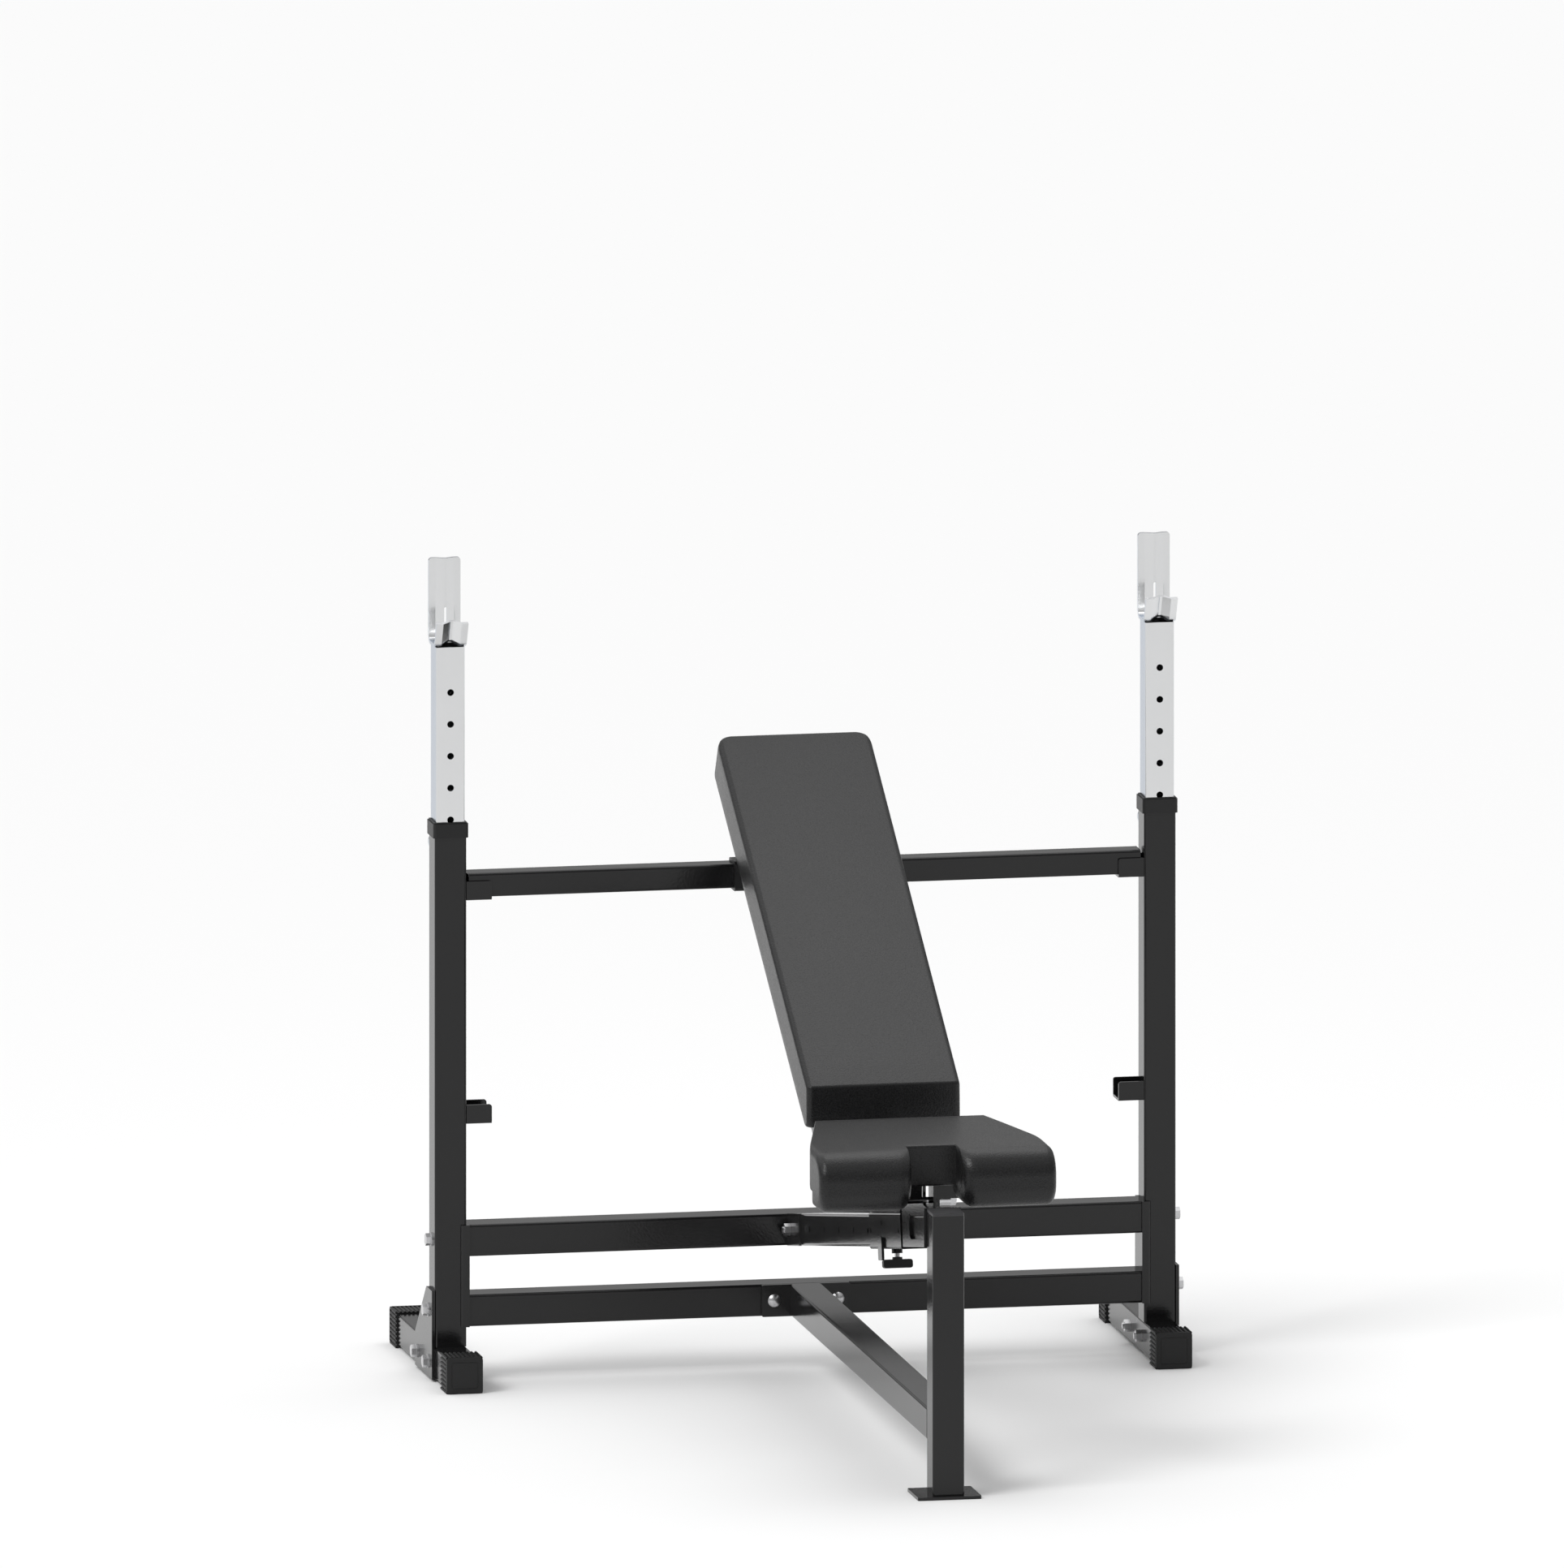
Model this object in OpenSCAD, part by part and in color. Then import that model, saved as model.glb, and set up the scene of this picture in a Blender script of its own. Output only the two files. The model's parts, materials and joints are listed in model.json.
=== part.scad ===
// Olympic bench press: two uprights with telescoping bar saddles, and a bench whose seat slides
// along a sloping beam while its backrest leans on a crossbar between the uprights.
// X runs across the rack, Y from the front foot (-) to the rear feet (+), Z up from the floor.
// "Left" is -X, as seen from the front foot. The origin is under the middle of the outline.

/* [Rack] */
// Distance between the centre lines of the two uprights
rack_w = 1117.5; // [930:0.5:1345]
// Height of the top of the upright tubes
upright_top = 874; // [725:1:1050]
// Side of every square frame tube
tube = 50; // [42:0.5:60]
// Wall of every square frame tube
tube_wall = 2; // [1.5:0.25:3.5]
// Outer corner radius of the frame tubes
tube_r = 4; // [3.75:0.25:6]
// Height of the lower crossbeam's centre line
cross_lo_z = 110; // [95:1:125]
// Height of the upper crossbeam's centre line
cross_hi_z = 220; // [190:1:265]
// Plate of the end channels and of the beam's brackets
plate = 4; // [3:0.5:6]
// Reach of the end channels' flanges over the uprights
flange_grip = 10; // [6:0.5:16]

/* [Feet] */
// Reach of the foot tubes in front of the rack plane
foot_front = 133; // [110:1:170]
// Reach of the foot tubes behind the rack plane
foot_rear = 318; // [260:1:385]
// Length of the ribbed end caps
cap_l = 50; // [40:1:60]
// Thickness of the cap's end wall
cap_end = 4; // [3:0.5:6]
// Thickness of the cap around the tube, ribs included
cap_wall = 4; // [3.5:0.25:6]
// Ribs on each side of a cap
cap_ribs = 9; // [5:2:9]
// Gusset plate thickness
gusset_t = 5; // [3:0.5:8]
// Gusset reach behind the rack plane
gusset_l = 110; // [95:1:130]
// Gusset height above the floor
gusset_h = 143; // [135:1:170]

/* [Bar posts] */
// Length of the sliding posts
post_l = 500; // [400:1:600]
// Gap between a post and its upright on each side
post_gap = 0.5; // [0.3:0.1:0.9]
// Pitch of the height holes
hole_pitch = 50; // [42:1:60]
// Height holes in each post
hole_n = 7; // [5:1:7]
// Diameter of the height holes
hole_d = 10.5; // [9:0.1:14]
// Distance from the top of a post to its first hole
hole_first = 71; // [55:1:90]
// Drop of the pull pin below the top of the upright
pin_drop = 42; // [30:1:60]
// Diameter of the pull pin
pin_d = 10; // [7:0.1:10.2]
// Height of the plastic collars
collar_h = 24; // [18:0.5:32]
// Collar wall around the upright
collar_wall = 2.75; // [2:0.25:4]

/* [Saddles] */
// Overhang of the saddle plate past the post on each side
saddle_over = 2.5; // [1:0.5:6]
// Thickness of the saddle plate
saddle_t = 5; // [3:0.5:6]
// Height of the pressed ridge
ridge_h = 7; // [4:0.5:8]
// Height of the back plate above the base
saddle_back = 133; // [110:1:160]
// Length of the front lip's flat stretch
lip_l = 33; // [27:0.5:40]
// Lean of the front lip away from upright
lip_lean = 24; // [10:1:40]

/* [Crossbar] */
// Side of the crossbar tube
bar = 38; // [32:0.5:44]
// Drop of the upper hooks' underside below the top of the upright
hook_drop = 120; // [100:1:150]
// Step down from the upper hooks to the lower hooks
hook_step = 351; // [290:1:360]
// Height of the hooks' walls
hook_h = 30; // [25:1:36]
// Reach of the hooks inward from the uprights
hook_w = 40; // [32:1:48]
// Gap between the crossbar and each hook wall
hook_gap = 0.5; // [0.3:0.1:1]
// Half length of the sleeve that the backrest leans on
sleeve_half = 111; // [105:1:140]
// Wall of that sleeve
sleeve_wall = 4.5; // [3:0.5:6]

/* [Bench] */
// Distance from the rack plane to the rear face of the front post
bench_l = 1120; // [930:1:1345]
// Upward slope of the main beam, toward the front
slope = 10; // [8:0.5:12]
// Length of the front bracket along the beam
bracket_l = 176; // [150:1:212]
// Length of the sliding carriage
carriage_l = 254; // [210:1:305]
// Wall of the carriage
carriage_wall = 3; // [2.5:0.5:4]
// Gap between the carriage and the beam on each side
carriage_gap = 0.5; // [0.3:0.1:0.9]
// Pitch of the beam's holes
beam_pitch = 118; // [98:1:130]
// Foot plate width
foot_plate_w = 100; // [80:1:140]
// Foot plate length
foot_plate_l = 88; // [75:1:110]
// Foot plate thickness
foot_plate_t = 5; // [4:0.5:8]

/* [Seat] */
// Length of the seat pad
seat_l = 323; // [300:1:390]
// Half width of the seat at its rear edge
seat_rear_half = 132; // [110:1:155]
// Half width of the seat at its front roll
seat_half = 187; // [160:1:225]
// Half width of the notch between the two knee rolls
notch_half = 40; // [34:1:48]
// Height of the seat's top above the carriage's front end
seat_h = 150.5; // [145:0.5:180]

/* [Backrest] */
// Length of the backrest's top face
back_l = 842; // [700:1:1000]
// Width of the backrest
back_w = 242; // [210:1:290]
// Thickness of the backrest's pad with its board
back_t = 65; // [55:1:80]
// Board thickness of seat and backrest
board_t = 15; // [12:1:20]
// Width of each backrest rail
rail_w = 40; // [32:1:46]
// Depth of each backrest rail
rail_h = 45; // [36:1:50]
// Pivot axle diameter
axle_d = 12; // [10:0.5:14]

/* [Hidden] */
$fn = 48;
bolt_d = 10;
bolt_gap = 0.25;      // radial gap around a bolt's shank
run_gap = 0.05;       // radial gap of a turning fit
soft_gap = 0.3;       // gap around a soft or resting piece
hex_d = 19.6;
head_h = 8;
washer_d = 21;
washer_t = 2.25;
nut_h = 9;
nut_tail = 3;

half_tube = tube / 2;
side_x = rack_w / 2;
inner_x = side_x - half_tube;
outer_x = side_x + half_tube;
foot_z = half_tube + cap_wall;
foot_top = foot_z + half_tube;
front_reach = bench_l + tube + 10;
rear_reach = foot_rear + cap_end;
rack_y = (front_reach - rear_reach) / 2;

// The two foot bolts, and the bolt heights in the uprights
foot_bolt_y = [0, 91];
upright_bolt_z = [cross_lo_z, cross_hi_z];

// Bolted joint of the brace tube
brace_bolt_x = 50;
brace_flange_t = 6;
brace_flange_w = 140;

// Bar posts
post_side = tube - 2 * tube_wall - 2 * post_gap;
pin_z = upright_top - pin_drop;
rest_hole = 5;        // the height hole that the pin holds at rest, from the top
post_top = pin_z + hole_first + rest_hole * hole_pitch;
post_r = max(1.5, tube_r - tube_wall);
post_wall = 2;
pin_tip = post_side / 2 - post_wall - 2.5;
housing_y = half_tube;
housing_l = 33;
chamber_y = housing_y + 8;
chamber_end = housing_y + housing_l - 3;
chamber_d = 18;
stem_d = 8;
knob_y = housing_y + housing_l + 4;
knob_r = 16.5;
knob_l = 20;

// Saddles: the corrugated section runs down the back, under the bar and up the front lip
strip_x = 14.5;       // inner edge of each flat strip
crest_x = 2;
saddle_bend = ridge_h + 4;
saddle_back_y = half_tube;
saddle_front_y = 2 - half_tube;
saddle_w = post_side + 2 * saddle_over;
lip_turn = 90 - lip_lean;
slot_w = 4;

// Crossbar
hook_z = upright_top - hook_drop;
bar_z = hook_z + plate + bar / 2;
bar_gap = 4.5;
sleeve_r = 5.5;

// Main beam, with s measured along it from the rack and n square to it
beam_front_s = (bench_l - half_tube) / cos(slope);
carriage_s = beam_front_s - bracket_l - 17;
carriage_y = -half_tube - carriage_s * cos(slope);
carriage_z = cross_hi_z + carriage_s * sin(slope);
carriage_half = half_tube + carriage_gap + carriage_wall;
bracket_back_l = 95;
bracket_back_gap = 6;
beam_hole_first = 163;
beam_hole_n = 5;
post_front_top = cross_hi_z + (bench_l - half_tube) * tan(slope) + half_tube + 10;
clamp_s = 181;        // from the carriage's front end
boss_d = 17;
stud_d = 8;

// Seat, measured from the carriage's front end
seat_rear_y = 160;
seat_front_y = seat_rear_y - seat_l;
roll_y = seat_front_y + 93;
roll_flat_y = seat_front_y + 43;
roll_drop = 92;       // depth of the knee rolls below the seat's top
seat_t = 65;
board_z = seat_h - seat_t;
notch_y = seat_front_y + 69;
cheek_x = 24;
cheek_t = 5;
cheek_foot = carriage_half / cos(slope);
cross_bolt_y = 67;
cross_bolt_z = 34.5;
lug_x = 40;
flange_y = 15;
flange_w = 32;
apron_w = 46;
apron_h = 40;
cheek_gap = 8;        // reach of the left apron past the middle

// Backrest, about its pivot on the carriage
pivot_y = 269;
pivot_z = 74.5;
pivot_abs = [carriage_y + pivot_y, carriage_z + pivot_z];
lean_c = [-bar / 2 - sleeve_wall + sleeve_r, bar_z + bar / 2 + sleeve_wall - sleeve_r];
lean_v = lean_c - pivot_abs;
lean_l = norm(lean_v);
back_angle = atan2(lean_v[1], lean_v[0]) + asin((rail_h / 2 + sleeve_r + soft_gap) / lean_l);
rail_x = 80;
bush_d = 22;
rail_start = -20;
rail_end = lean_l + 62;
pad_end_y = 10;       // from the pivot back to the pad's upright lower face
pad_low = (pad_end_y + rail_h / 2 * sin(back_angle)) / cos(back_angle);
pad_top = pad_low + back_t * tan(back_angle);

// ---- Frames and sections ----

module place() translate([0, rack_y, 0]) children();

// Draws a right-hand piece, or its mirror image on the left
module on_side(side) place() mirror([side < 0 ? 1 : 0, 0, 0]) children();

// A piece that is laid out along the beam: +Y runs back, +Z is square to the beam
module on_beam(s) translate([0, -half_tube, cross_hi_z]) rotate([-slope, 0, 0])
    translate([0, -s, 0]) children();

module on_carriage() place() translate([0, carriage_y, carriage_z]) children();

module on_backrest() place() translate([0, pivot_abs[0], pivot_abs[1]])
    rotate([back_angle, 0, 0]) children();

// Extrudes a (Y, Z) shape along X, between two places
module along_x(x0, x1) translate([x0, 0, 0]) rotate([90, 0, 90]) linear_extrude(x1 - x0) children();

// Extrudes an (X, Z) shape along Y, between two places
module along_y(y0, y1) translate([0, y1, 0]) rotate([90, 0, 0]) linear_extrude(y1 - y0) children();

module rod_x(x0, x1, d) translate([x0, 0, 0]) rotate([0, 90, 0]) cylinder(h = x1 - x0, d = d);

module rod_y(y0, y1, d) translate([0, y0, 0]) rotate([-90, 0, 0]) cylinder(h = y1 - y0, d = d);

module hex_x(x0, x1) translate([x0, 0, 0]) rotate([0, 90, 0]) cylinder(h = x1 - x0, d = hex_d, $fn = 6);

// Rectangle with round corners
module round_rect(w, h, r) {
    square([w - 2 * r, h], center = true);
    square([w, h - 2 * r], center = true);
    for (x = [-1, 1], y = [-1, 1])
        translate([x * (w / 2 - r), y * (h / 2 - r)]) circle(r);
}

// Square tube section
module tube_2d(w, h, r, t) difference() {
    round_rect(w, h, r);
    round_rect(w - 2 * t, h - 2 * t, max(r - t, 0.6));
}

module frame_2d() tube_2d(tube, tube, tube_r, tube_wall);

// Points of an arc about c, from a0 to a1 degrees
function arc(c, r, a0, a1, n = 8) = [
    for (i = [0:n]) let (a = a0 + (a1 - a0) * i / n) c + r * [cos(a), sin(a)]
];

// ---- Rack ----

module upright(side) color("dimgray") on_side(side) difference() {
    translate([side_x, 0, foot_top]) linear_extrude(upright_top - foot_top) frame_2d();
    for (z = upright_bolt_z)
        translate([side_x, 0, z]) rod_x(-tube, tube, bolt_d + 2 * bolt_gap);
    translate([side_x, 0, pin_z]) rod_y(0, tube, hole_d);
}

module foot_tube(side) color("dimgray") on_side(side) difference() {
    translate([side_x, 0, foot_z]) along_y(-foot_front, foot_rear) frame_2d();
    for (y = foot_bolt_y)
        translate([side_x, y, foot_z]) rod_x(-tube, tube, bolt_d + 2 * bolt_gap);
}

// Outline of a cap with round ribs along its four sides
module cap_ribs_2d() {
    rib_r = 2.1;
    half = half_tube + cap_wall - rib_r;
    pitch = 2 * half / (cap_ribs - 1);
    square(2 * half, center = true);
    for (i = [0:cap_ribs - 1], turn = [0:3])
        rotate(turn * 90) translate([-half + i * pitch, half]) circle(rib_r);
}

// End cap over the end of a foot tube; facing is -1 at the front and 1 at the rear
module foot_cap(side, facing) color("black") on_side(side)
    translate([side_x, facing < 0 ? -foot_front : foot_rear, foot_z])
    mirror([0, facing < 0 ? 0 : 1, 0]) difference() {
        union() {
            along_y(0, cap_l - cap_end) cap_ribs_2d();
            along_y(-cap_end, 0) round_rect(tube + 2 * cap_wall - 1, tube + 2 * cap_wall - 1, 5);
        }
        along_y(0, cap_l) round_rect(tube, tube, tube_r);
        along_y(-cap_end - 1, -cap_end + 0.6) difference() {
            round_rect(tube - 8, tube - 8, 4);
            round_rect(tube - 10, tube - 10, 3);
        }
    }

module gusset(side) color("dimgray") on_side(side) difference() {
    along_x(outer_x, outer_x + gusset_t) polygon([
        [-half_tube, foot_z - half_tube],
        [gusset_l, foot_z - half_tube],
        [gusset_l, foot_top + 3],
        [20, gusset_h],
        [-half_tube, gusset_h],
    ]);
    for (y = foot_bolt_y)
        translate([side_x, y, foot_z]) rod_x(0, tube, bolt_d + 2 * bolt_gap);
    translate([side_x, 0, cross_lo_z]) rod_x(0, tube, bolt_d + 2 * bolt_gap);
}

// Channel that wraps the inner side of an upright and takes both crossbeams
module end_channel(side) color("dimgray") on_side(side) difference() {
    translate([0, 0, cross_lo_z - half_tube]) linear_extrude(cross_hi_z - cross_lo_z + tube) difference() {
        translate([inner_x + flange_grip - 20, 0]) round_rect(40 + 2 * plate - 8, tube + 2 * plate, 5);
        translate([inner_x, -half_tube]) square([tube, tube]);
        translate([inner_x + flange_grip, -tube]) square([tube, 2 * tube]);
        translate([inner_x - plate - tube, -tube]) square([tube, 2 * tube]);
    }
    for (z = upright_bolt_z)
        translate([inner_x, 0, z]) rod_x(-tube, tube, bolt_d + 2 * bolt_gap);
}

module crossbeam(z) color("dimgray") place() difference() {
    translate([0, 0, z]) along_x(-inner_x + plate, inner_x - plate) frame_2d();
    for (x = [-1, 1])
        translate([x * brace_bolt_x, 0, cross_lo_z]) rod_y(-tube, tube, bolt_d + 2 * bolt_gap);
}

module brace_flange() color("dimgray") place() difference() {
    translate([0, 0, cross_lo_z]) along_y(-half_tube - brace_flange_t, -half_tube)
        round_rect(brace_flange_w, tube, 3);
    for (x = [-1, 1])
        translate([x * brace_bolt_x, 0, cross_lo_z]) rod_y(-tube, tube, bolt_d + 2 * bolt_gap);
}

module brace_tube() color("dimgray") place()
    translate([0, 0, cross_lo_z]) along_y(-bench_l, -half_tube - brace_flange_t) frame_2d();

// Two carriage bolts with domed heads, and their nuts behind the crossbeam
module brace_bolts() color("silver") place()
    for (x = [-1, 1]) translate([x * brace_bolt_x, 0, cross_lo_z]) {
    head_y = -half_tube - brace_flange_t;
    intersection() {
        translate([0, head_y - 5 + 13, 0]) sphere(13);
        rod_y(head_y - 6, head_y, 30);
    }
    rod_y(head_y, half_tube + nut_h + nut_tail, bolt_d);
    difference() {
        rotate([0, 0, 90]) hex_x(half_tube, half_tube + nut_h);
        rod_y(0, tube + nut_h, bolt_d);
    }
}

// Hex bolt through one side of the rack, from its head outside to its tail inside
module side_bolt(head_x, tail_x) {
    hex_x(head_x + washer_t, head_x + washer_t + head_h);
    rod_x(head_x, head_x + washer_t, washer_d);
    rod_x(tail_x, head_x + washer_t, bolt_d);
}

module frame_bolts(side) color("silver") on_side(side) {
    for (y = foot_bolt_y)
        translate([0, y, foot_z]) side_bolt(outer_x + gusset_t, inner_x - nut_h - nut_tail);
    translate([0, 0, cross_lo_z]) side_bolt(outer_x + gusset_t, inner_x - plate - nut_h - nut_tail);
    translate([0, 0, cross_hi_z]) side_bolt(outer_x, inner_x - plate - nut_h - nut_tail);
}

module side_nut(x) difference() {
    hex_x(x - nut_h, x);
    rod_x(x - tube, x + tube, bolt_d + 2 * run_gap);
}

module frame_nuts() color("silver") for (side = [-1, 1]) on_side(side) {
    for (y = foot_bolt_y)
        translate([0, y, foot_z]) side_nut(inner_x);
    for (z = upright_bolt_z)
        translate([0, 0, z]) side_nut(inner_x - plate);
}

// ---- Bar posts ----

module collar(side) color("black") on_side(side) translate([side_x, 0, upright_top]) difference() {
    out = tube + 2 * collar_wall;
    union() {
        translate([0, 0, 4 - collar_h]) linear_extrude(collar_h - 2) round_rect(out, out, tube_r + 1);
        translate([0, 0, 2]) linear_extrude(2) round_rect(out - 4, out - 4, tube_r);
    }
    translate([0, 0, -collar_h]) linear_extrude(collar_h) round_rect(tube, tube, tube_r);
    translate([0, 0, -1]) linear_extrude(6) round_rect(post_side + 0.6, post_side + 0.6, post_r);
}

module post(side) color("silver") on_side(side) translate([side_x, 0, 0]) difference() {
    translate([0, 0, post_top - post_l]) linear_extrude(post_l)
        tube_2d(post_side, post_side, post_r, post_wall);
    for (i = [0:hole_n - 1])
        translate([0, 0, post_top - hole_first - i * hole_pitch]) rod_y(-tube, tube, hole_d);
}

// Section of the saddle plate: [distance into the cradle, place across the plate]
function saddle_2d(r) = let (w = saddle_w / 2, t = saddle_t, h = ridge_h) [
    [r, -w], [r, -strip_x], [r - h, -crest_x], [r - h, crest_x], [r, strip_x], [r, w],
    [r + t, w], [r + t, strip_x], [r + t - h, crest_x],
    [r + t - h, -crest_x], [r + t, -strip_x], [r + t, -w],
];

module saddle(side) color("silver") on_side(side) translate([side_x, 0, post_top + saddle_t]) difference() {
    r = saddle_bend;
    flat_l = saddle_back_y - saddle_front_y - 2 * r;
    union() {
        // Back plate and its bend
        rotate([90, 0, 90]) translate([saddle_back_y - r, r, 0]) {
            rotate([-90, 0, 0]) linear_extrude(saddle_back - r - saddle_t) polygon(saddle_2d(r));
            rotate([0, 0, -90]) rotate_extrude(angle = 90) polygon(saddle_2d(r));
        }
        // Base, front bend and lip
        rotate([90, 0, 90]) translate([saddle_front_y + r, r, 0]) {
            rotate([0, 0, -90]) rotate([-90, 0, 0]) linear_extrude(flat_l) polygon(saddle_2d(r));
            rotate([0, 0, -90 - lip_turn]) rotate_extrude(angle = lip_turn) polygon(saddle_2d(r));
            rotate([0, 0, -90 - lip_turn]) rotate([90, 0, 0]) linear_extrude(lip_l) polygon(saddle_2d(r));
        }
    }
    // Drain slot in the ridge
    translate([0, saddle_back_y, 12 + slot_w / 2]) rod_y(-20, 20, slot_w);
    translate([-slot_w / 2, saddle_back_y - 20, 12 + slot_w / 2]) cube([slot_w, 40, 35]);
    translate([0, saddle_back_y, 47 + slot_w / 2]) rod_y(-20, 20, slot_w);
    // Rounded top corners
    for (x = [-1, 1]) translate([x * (saddle_w / 2 - 5), 0, saddle_back - saddle_t - 5]) difference() {
        translate([x * 5, saddle_back_y, 5]) cube([10, 40, 10], center = true);
        rod_y(0, tube, 10);
    }
}

// Barrel on the rear face of an upright, with a chamber for the pin's spring
module pin_housing(side) color("dimgray") on_side(side) translate([side_x, 0, pin_z]) difference() {
    rod_y(housing_y, housing_y + housing_l, 24);
    rod_y(0, housing_y + housing_l + 1, pin_d + 2 * run_gap);
    rod_y(chamber_y, chamber_end, chamber_d);
}

module pull_pin(side) color("silver") on_side(side) translate([side_x, 0, pin_z]) {
    rod_y(pin_tip, chamber_y + 1, pin_d);
    rod_y(chamber_y + soft_gap, chamber_y + 3, chamber_d - 0.4);
    rod_y(chamber_y, knob_y + 8, stem_d);
}

module pin_knob(side) color("silver") on_side(side) translate([side_x, knob_y, pin_z]) rotate([-90, 0, 0])
    difference() {
        rotate_extrude($fn = 64) polygon(concat(
            [[0, 0], [knob_r - 4, 0]],
            arc([knob_r - 2, 4], 2, -60, 0, 3),
            arc([knob_r - 9, knob_l - 9], 9, 0, 75, 8),
            [[0, knob_l]]
        ));
        translate([0, 0, -1]) cylinder(h = 9 + soft_gap, d = stem_d + 2 * run_gap);
    }

// ---- Crossbar ----

// U hook welded to the inner face of an upright
module hook(side, z) color("dimgray") on_side(side) translate([inner_x - hook_w, 0, z]) difference() {
    out = bar + 2 * hook_gap + 2 * plate;
    along_x(0, hook_w) difference() {
        translate([0, hook_h]) round_rect(out, 2 * hook_h, 4);
        translate([0, plate + hook_h]) square([bar + 2 * hook_gap, 2 * hook_h], center = true);
        translate([-out, hook_h]) square([2 * out, 2 * hook_h]);
    }
    along_y(-out, out) translate([4, hook_h - 4]) difference() {
        translate([-6, 0]) square([6, 6]);
        circle(4);
    }
}

module crossbar() color("dimgray") place() translate([0, 0, bar_z])
    along_x(-inner_x + bar_gap, inner_x - bar_gap) tube_2d(bar, bar, tube_r, tube_wall);

module crossbar_sleeve() color("black") place() translate([0, 0, bar_z]) {
    out = bar + 2 * sleeve_wall;
    along_x(-sleeve_half, sleeve_half) difference() {
        round_rect(out, out, sleeve_r);
        round_rect(bar, bar, tube_r);
    }
}

// ---- Bench ----

module front_post() color("dimgray") place() translate([0, -bench_l - half_tube, foot_plate_t])
    linear_extrude(post_front_top - foot_plate_t - plate) frame_2d();

module front_post_cap() color("gray") place()
    translate([0, -bench_l - half_tube, post_front_top - plate])
        linear_extrude(plate) round_rect(tube, tube, tube_r);

module front_foot_plate() color("dimgray") place()
    translate([0, -front_reach + foot_plate_l / 2, 0]) linear_extrude(foot_plate_t)
        round_rect(foot_plate_w, foot_plate_l, 3);

// Keeps what lies between the rack's face and the post's face, both upright planes
module between_ends(y0, y1) intersection() {
    children();
    translate([-tube, y0, 0]) cube([2 * tube, y1 - y0, post_front_top + tube]);
}

module main_beam() color("dimgray") place() difference() {
    between_ends(-bench_l + plate, -half_tube - bracket_back_gap)
        on_beam(beam_front_s + tube) along_y(0, beam_front_s + 2 * tube) frame_2d();
    for (i = [0:beam_hole_n - 1])
        on_beam(beam_hole_first + i * beam_pitch) rod_x(-tube, tube, hole_d);
    beam_bolt_at() rod_x(-tube, tube, bolt_d + 2 * bolt_gap);
}

module beam_bolt_at() on_beam(22) children();

// Base plate and two cheeks that hold the beam to the upper crossbeam
module beam_rear_bracket() color("dimgray") place() difference() {
    union() {
        between_ends(-half_tube - plate, -half_tube)
            on_beam(tube) along_y(0, 2 * tube) square([tube + 2 * plate, tube], center = true);
        between_ends(-half_tube - bracket_back_l, -half_tube) for (x = [-1, 1])
            on_beam(bracket_back_l + tube) translate([x * (half_tube + plate / 2), 0, 0])
                along_y(0, bracket_back_l + 2 * tube) square([plate, tube], center = true);
    }
    beam_bolt_at() rod_x(-tube, tube, bolt_d + 2 * bolt_gap);
}

module beam_bolt() color("silver") place() beam_bolt_at() {
    reach = half_tube + plate;
    hex_x(reach, reach + head_h);
    rod_x(-reach - nut_h - nut_tail, reach + 0.1, bolt_d);
    difference() {
        hex_x(-reach - nut_h, -reach);
        rod_x(-reach - tube, 0, bolt_d);
    }
}

// Base plate and two windowed cheeks that hold the beam to the front post
module beam_front_bracket() color("dimgray") place() {
    rise = 10;
    wide = tube + rise;
    between_ends(-bench_l, -bench_l + plate)
        on_beam(beam_front_s + tube) translate([0, 0, rise / 2])
            along_y(0, 2 * tube) square([tube + 2 * plate, wide], center = true);
    between_ends(-bench_l, 0) for (x = [-1, 1])
        on_beam(beam_front_s + tube) translate([x * (half_tube + plate / 2), 0, rise / 2])
            along_x(-plate / 2, plate / 2) difference() {
                translate([(tube + bracket_l) / 2, 0]) round_rect(tube + bracket_l, wide, 3);
                translate([(tube + bracket_l) / 2 - 58, 0]) round_rect(tube + bracket_l, wide - 24, 10);
            }
}

module carriage_sleeve() color("dimgray") place() {
    out = 2 * carriage_half;
    difference() {
        on_beam(carriage_s) along_y(0, carriage_l)
            tube_2d(out, out, 3.5, carriage_wall);
        for (s = [18, carriage_l - 12])
            on_beam(carriage_s - s) rod_x(-tube, tube, 9);
        for (n = [-12, 12])
            on_beam(carriage_s - 156) translate([0, 0, n]) rod_x(-tube, tube, 9);
        on_beam(carriage_s - clamp_s) translate([0, 0, -tube]) cylinder(h = tube, d = stud_d + 0.5);
    }
    // Stop tab under the left side
    on_beam(carriage_s - 154) translate([-carriage_half - plate, 0, 0])
        along_x(0, plate) translate([0, -28]) round_rect(30, 36, 4);
}

module clamp_at() place() on_beam(carriage_s - clamp_s) children();

module clamp_boss() color("dimgray") clamp_at() difference() {
    translate([0, 0, -carriage_half - 7.5]) cylinder(h = 7.5, d = boss_d);
    translate([0, 0, -tube]) cylinder(h = tube, d = stud_d + 0.5);
}

module clamp_stud() color("silver") clamp_at()
    translate([0, 0, -53]) cylinder(h = 53 - half_tube - soft_gap, d = stud_d);

// T handle with a round neck
module clamp_handle() color("black") clamp_at() difference() {
    union() {
        translate([0, 0, -45.5]) cylinder(h = 3.7, d = 15.5);
        translate([0, 0, -52.1]) along_y(-7, 7) round_rect(46, 13.6, 4);
    }
    translate([0, 0, -53.3]) cylinder(h = 53.3, d = stud_d + 2 * run_gap);
}

// ---- Seat ----

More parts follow.
